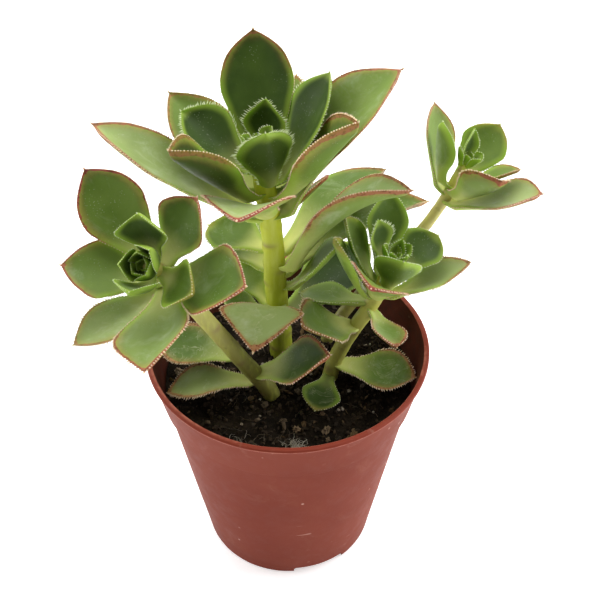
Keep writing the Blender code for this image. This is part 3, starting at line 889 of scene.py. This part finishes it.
def pot_profile():
    """The wall as (radius, height), from the middle of the base out, up, over and back."""
    foot, ledge, lip, rim = 0.8 * MM, 0.18 * MM, 0.35 * MM, 0.15 * MM
    profile = [(AXIS_GAP, 0.0), (6 * MM, 0.0), (12 * MM, 0.0)]
    profile += arc(FOOT - foot, foot, foot, -90, 0, 7)
    profile += line_between(profile[-1], (SHOULDER, COLLAR_BOTTOM - lip), 22)
    profile += [(SHOULDER - 0.12 * MM, COLLAR_BOTTOM - 0.12 * MM)]
    profile += arc(COLLAR_FOOT - ledge, COLLAR_BOTTOM + rim, ledge, -90, 0, 4)
    profile += line_between(profile[-1], (COLLAR_TOP, POT_TOP - 2.2 * lip), 8)
    profile += arc(LIP_RADIUS - lip, POT_TOP - lip, lip, -75, 90, 9)
    profile += arc(BORE + rim, POT_TOP - rim, rim, 90, 180, 4)
    profile += line_between(profile[-1], (COLLAR_FOOT - WALL, COLLAR_BOTTOM + WALL), 10)
    profile += line_between(profile[-1], (SHOULDER - WALL, COLLAR_BOTTOM - WALL), 3)
    profile += line_between(profile[-1], (FOOT - WALL, 1.5 * MM), 14)
    profile += [(FOOT - 2 * WALL, WALL), (8 * MM, WALL), (AXIS_GAP, WALL)]
    return profile


def simple_object(name, bm, move=(0, 0, 0), degrees=0):
    """The mesh as an object, moved and then turned round the pot's axis."""
    bmesh.ops.translate(bm, vec=Vector(move), verts=bm.verts)
    bmesh.ops.recalc_face_normals(bm, faces=bm.faces)
    mesh = bpy.data.meshes.new(name)
    bm.to_mesh(mesh)
    bm.free()
    obj = new_object(name, mesh)
    obj.rotation_euler = (0, 0, radians(degrees))
    return obj


def block(size, centre, degrees):
    bm = bmesh.new()
    bmesh.ops.create_cube(bm, size=1.0)
    bmesh.ops.scale(bm, vec=Vector(size), verts=bm.verts)
    bmesh.ops.bevel(bm, geom=bm.edges[:], offset=0.25 * MM, segments=2, affect="EDGES")
    return simple_object("cutter", bm, centre, degrees)


def drill(radius, height, distance=0, degrees=0):
    bm = bmesh.new()
    bmesh.ops.create_cone(bm, cap_ends=True, segments=48, radius1=radius, radius2=radius,
                          depth=height)
    return simple_object("cutter", bm, (distance, 0, height / 2), degrees)


def add_boolean(obj, operation, other):
    modifier = obj.modifiers.new("boolean", "BOOLEAN")
    modifier.operation = operation
    modifier.solver = "EXACT"
    modifier.object = other


def pot_shell():
    """The turned wall. A thin moulded wall is never quite round or flat."""
    bm = bmesh.new()
    rings = []
    for radius, height in pot_profile():
        ring = []
        for x, y in circle(1.0, POT_SIDES):
            place = Vector((x, y, height / 0.05))
            warp = 0.1 * MM * noise.noise(place * 1.4) + 0.03 * MM * noise.noise(place * 6)
            r = radius + (warp if radius > 10 * MM else 0)
            ring.append(bm.verts.new((r * x, r * y, height)))
        rings.append(ring)
    for low, high in zip(rings, rings[1:]):
        for k in range(POT_SIDES):
            j = (k + 1) % POT_SIDES
            bm.faces.new((low[k], low[j], high[j], high[k]))
    bm.faces.new(rings[0])
    bm.faces.new(rings[-1])
    return simple_object("pot_shell", bm)


def cut_drains(pot):
    """Roofs the drain channels inside the pot, then cuts each channel and its hole."""
    limit = drill(FOOT - 0.1 * MM, 6 * MM)
    helpers = [limit]
    roof_end = FOOT + 0.1 * MM - WALL / 2
    for direction in DRAINS:
        roof = block((roof_end - ROOF_START, ROOF_WIDTH, 1.7 * MM),
                     ((roof_end + ROOF_START) / 2, 0, 1.2 * MM), direction)
        channel = block((DRAIN_LENGTH, DRAIN_WIDTH, 3.4 * MM), (DRAIN_MIDDLE, 0, 0), direction)
        hole = drill(HOLE_RADIUS, 5.1 * MM, HOLE_DISTANCE, direction)
        add_boolean(roof, "INTERSECT", limit)
        for operation, helper in (("UNION", roof), ("DIFFERENCE", channel),
                                  ("DIFFERENCE", hole)):
            add_boolean(pot, operation, helper)
            helpers.append(helper)
    bpy.context.view_layer.update()
    graph = bpy.context.evaluated_depsgraph_get()
    pot.data = bpy.data.meshes.new_from_object(pot.evaluated_get(graph), depsgraph=graph)
    pot.modifiers.clear()
    for helper in helpers:
        bpy.data.objects.remove(helper, do_unlink=True)


def pot_values(place):
    """What the material wants to know at a point: (inside, lip, worn) and (painted highlight on
    the lip's edges, 0, 0).
    """
    radius = hypot(place.x, place.y)
    above_collar = place.z - COLLAR_BOTTOM
    outer = FOOT + (SHOULDER - FOOT) * min(1.0, place.z / COLLAR_BOTTOM)
    if above_collar > 0:
        outer = COLLAR_FOOT + 2 * MM * above_collar / COLLAR_HEIGHT
    inside = radius < outer - 0.45 * MM and WALL * 0.5 < place.z <= POT_TOP - 0.12 * MM
    lip = place.z > POT_TOP - 0.85 * MM and not inside
    worn = 0.35 + 0.65 * max(0.0, above_collar / COLLAR_HEIGHT)
    # Painted highlight: the lip's outer lower edge and its inner edge are made pale, where light
    # catches them
    outer_edge = radius > LIP_RADIUS - 0.28 * MM and place.z < POT_TOP - 0.3 * MM
    inner_edge = radius < BORE + 0.15 * MM
    lip_highlight = lip and (outer_edge or inner_edge)
    return (float(inside), float(lip), worn), (float(lip_highlight), 0.0, 0.0)


def make_pot():
    pot = pot_shell()
    cut_drains(pot)
    mesh = pot.data
    mesh.materials.clear()
    mesh.materials.append(POT)
    values, rims = zip(*(pot_values(vertex.co) for vertex in mesh.vertices))
    add_layer(mesh, "pot", values)
    add_layer(mesh, "rim", rims)
    shade_smooth(mesh, 35)
    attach(pot, "root")
    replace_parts(pot, "pot")


make_pot()


# ---- soil

SOIL_TOP = 41.6 * MM
SOIL_RADIUS = 24.2 * MM
SOIL_RINGS = 92
SOIL_SIDES = 300
# The bed's sides and bottom, as (radius, height)
SOIL_SIDE_RINGS = ((SOIL_RADIUS - 0.4 * MM, 38 * MM), (17.5 * MM, 6 * MM), (15.4 * MM, 2.9 * MM))
PALE_SPREAD = 0.18  # how much the paleness of a kind of grain varies


def soil_height(x, y):
    """Height of the soil surface: a low crown with lumps."""
    radius = hypot(x, y) / SOIL_RADIUS
    place = Vector((x, y, 0))
    lumps = 0.75 * noise.noise(place * 130) + 0.5 * noise.noise(place * 330)
    lumps += 0.3 * noise.noise(place * 800) + 0.16 * noise.noise(place * 1900)
    return SOIL_TOP + (0.55 * (1 - radius ** 2) + lumps) * MM


def make_soil():
    bed = Build("bit")
    points = [(x, y, soil_height(x, y)) for r in range(1, SOIL_RINGS + 1)
              for x, y in circle(SOIL_RADIUS * r / SOIL_RINGS, SOIL_SIDES)]
    points += [(x, y, height) for radius, height in SOIL_SIDE_RINGS
               for x, y in circle(radius, SOIL_SIDES)]
    faces = loop_faces(SOIL_RINGS + len(SOIL_SIDE_RINGS), SOIL_SIDES)
    centre = len(points)
    points.append((0, 0, soil_height(0, 0)))
    for k in range(SOIL_SIDES):
        faces.append((k, centre, (k + 1) % SOIL_SIDES))
    faces.append(tuple(range(centre - SOIL_SIDES, centre)))
    bed.add(points, [face[::-1] for face in faces], bit=(0, 0, 0))
    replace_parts(bed.make("soil_bed", SOIL, 60), "soil")


def lump_shape(detail):
    bm = bmesh.new()
    bmesh.ops.create_icosphere(bm, subdivisions=detail, radius=1.0)
    points = np.array([v.co[:] for v in bm.verts])
    faces = [tuple(v.index for v in f.verts) for f in bm.faces]
    bm.free()
    return points, faces


def random_share(mean, spread):
    return float(np.clip(rng.normal(mean, spread), 0, 1))


def random_place(limit=0.97):
    radius = SOIL_RADIUS * limit * sqrt(rng.random())
    angle = rng.uniform(0, TURN)
    return radius * cos(angle), radius * sin(angle)


def random_turn():
    q = rng.normal(size=4)
    w, x, y, z = q / np.linalg.norm(q)
    return np.array([[1 - 2 * (y * y + z * z), 2 * (x * y - z * w), 2 * (x * z + y * w)],
                     [2 * (x * y + z * w), 1 - 2 * (x * x + z * z), 2 * (y * z - x * w)],
                     [2 * (x * z - y * w), 2 * (y * z + x * w), 1 - 2 * (x * x + y * y)]])


def scatter(name, count, sizes, flat, pale, warm, bright, detail=1):
    """Irregular lumps half sunk in the soil surface."""
    bits = Build("bit")
    shape, faces = lump_shape(detail)
    for _ in range(count):
        x, y = random_place()
        size = rng.uniform(*sizes) * MM
        dents = 1 + 0.24 * rng.normal(size=(len(shape), 1)).clip(-1.5, 1.5)
        stretch = np.array([1.0, rng.uniform(0.6, 1.0), rng.uniform(*flat)])
        turned = (shape * dents * stretch * size / 2) @ random_turn().T
        z = soil_height(x, y) + size * 0.12
        tint = (random_share(pale, PALE_SPREAD * (0.2 + pale)), random_share(warm, 0.2),
                random_share(bright, 0.15) if bright else 0.0)
        bits.add(turned + [x, y, z], faces, bit=tint)
    return bits.make(name, GRIT, 30)


def strands(name, count, lengths, radius, pale, warm, tuft=None):
    """Thin fibres lying in loose curves on the soil, all over it or in one tuft.
    tuft: x, y and size, in metres."""
    threads = Build("bit")
    steps = 9
    for _ in range(count):
        x, y = random_place(0.92)
        if tuft:
            x = tuft[0] + tuft[2] * rng.normal() * 0.6
            y = tuft[1] + tuft[2] * rng.normal() * 0.35
        heading = rng.uniform(0, TURN)
        length = rng.uniform(*lengths) * MM
        curl = rng.normal(0, 1.2)
        line = []
        for k in range(steps):
            heading += curl / steps + rng.normal(0, 0.25)
            x += cos(heading) * length / steps
            y += sin(heading) * length / steps
            if hypot(x, y) > SOIL_RADIUS * 0.96:
                break
            hop = 0.5 * sin(pi * k / (steps - 1)) * rng.uniform(0.4, 1.2)
            line.append((x, y, soil_height(x, y) + (0.12 + hop) * MM))
        if len(line) < 4:
            continue
        line = np.array(line)
        forward = unit(np.gradient(line, axis=0))
        across = unit(np.cross(forward, [0, 0, 1.0]))
        above = np.cross(across, forward)
        thick = radius * MM * rng.uniform(0.6, 1.3)
        taper = np.linspace(1.0, 0.45, len(line))[:, None]
        sides = [line + thick * taper * (a * across + b * above) for a, b in circle(1.0, 4)]
        tint = (random_share(pale, 0.15), random_share(warm, 0.2), 0.0)
        threads.add(np.stack(sides, axis=1), tube_faces(len(line), 4), bit=tint)
    return threads.make(name, GRIT, 60)


# Numbers after the count: sizes in millimetres, flatness or radius, pale, warm, bright, detail
make_soil()
scatter("soil_crumbs", 1700, (0.3, 1.2), (0.4, 0.9), 0.02, 0.6, 0.0)
scatter("bark_bits", 90, (0.7, 1.9), (0.25, 0.55), 0.32, 0.85, 0.0, 2)
scatter("perlite_bits", 40, (0.4, 1.1), (0.7, 1.0), 0.85, 0.25, 0.35, 2)
scatter("tan_pebbles", 7, (1.3, 2.1), (0.7, 0.9), 0.5, 0.85, 0.0, 3)
strands("root_fibres", 90, (2.0, 5.5), 0.045, 0.3, 0.6)
strands("pale_tuft", 80, (1.0, 3.4), 0.05, 0.9, 0.1, (1.8 * MM, -19.6 * MM, 1.6 * MM))
strands("grey_tuft", 40, (1.0, 3.0), 0.035, 0.55, 0.1, (-9.0 * MM, -19.0 * MM, 2.6 * MM))


# ---- stage, light and camera

FLOOR_SIZE = 12.0
EYE = (2.4 * MM, -161.8 * MM, 205.1 * MM)
EYE_ELEVATION = 41.6  # degrees above the horizon
LENS = 69.23  # millimetres, on a sensor 36 mm wide
WHITE = (1.0, 1.0, 1.0)


def make_floor():
    bm = bmesh.new()
    bmesh.ops.create_grid(bm, x_segments=8, y_segments=8, size=FLOOR_SIZE)
    floor = simple_object("studio_floor", bm)
    n = Nodes("white_floor")
    soft = n.noise(3, 2)
    colour = n.mix(soft, (0.88, 0.88, 0.88), (0.9, 0.9, 0.9))
    floor.data.materials.append(n.finish(
        colour, n.remap(soft, 0.3, 0.7, 0.85, 0.95), n.bump(soft, 0.02, 0.001),
        Specular_IOR_Level=0.1, Emission_Color=WHITE, Emission_Strength=0.5))


def area_light(name, place, target, size, power):
    data = bpy.data.lights.new(name, "AREA")
    data.shape = "RECTANGLE"
    data.size, data.size_y = size
    data.energy = power
    lamp = new_object(name, data)
    lamp.location = place
    aim = Vector(target) - Vector(place)
    lamp.rotation_euler = aim.to_track_quat("-Z", "Y").to_euler()


def make_world():
    """Soft white surroundings, dimmer on the side that the pot is looked at from."""
    n = Nodes("studio", "worlds")
    bpy.context.scene.world = n.owner
    direction = n.node("ShaderNodeTexCoord")[0]
    forward = n.node("ShaderNodeSeparateXYZ", {0: direction})[1]
    n.fill(n.tree.nodes["Background"], {
        "Color": WHITE, "Strength": n.remap(forward, -0.7, 0.5, 0.25, 1.0, kind="LINEAR")})


def make_camera():
    data = bpy.data.cameras.new("camera")
    data.sensor_width = 36.0
    data.lens = LENS
    data.clip_start = 0.01
    camera = new_object("camera", data)
    camera.location = EYE
    camera.rotation_euler = (radians(90 - EYE_ELEVATION), 0, 0)
    bpy.context.scene.camera = camera


make_floor()
make_world()
area_light("top_softbox", (0.0, 0.25, 0.5), (0, 0, 0.05), (0.6, 0.4), 3.0)
area_light("left_softbox", (-0.5, 0.1, 0.25), (0, 0, 0.04), (0.4, 0.4), 1.6)
area_light("right_softbox", (0.5, 0.1, 0.25), (0, 0, 0.04), (0.4, 0.4), 2.9)
make_camera()
bpy.context.scene.view_settings.view_transform = "Standard"

bpy.context.view_layer.update()
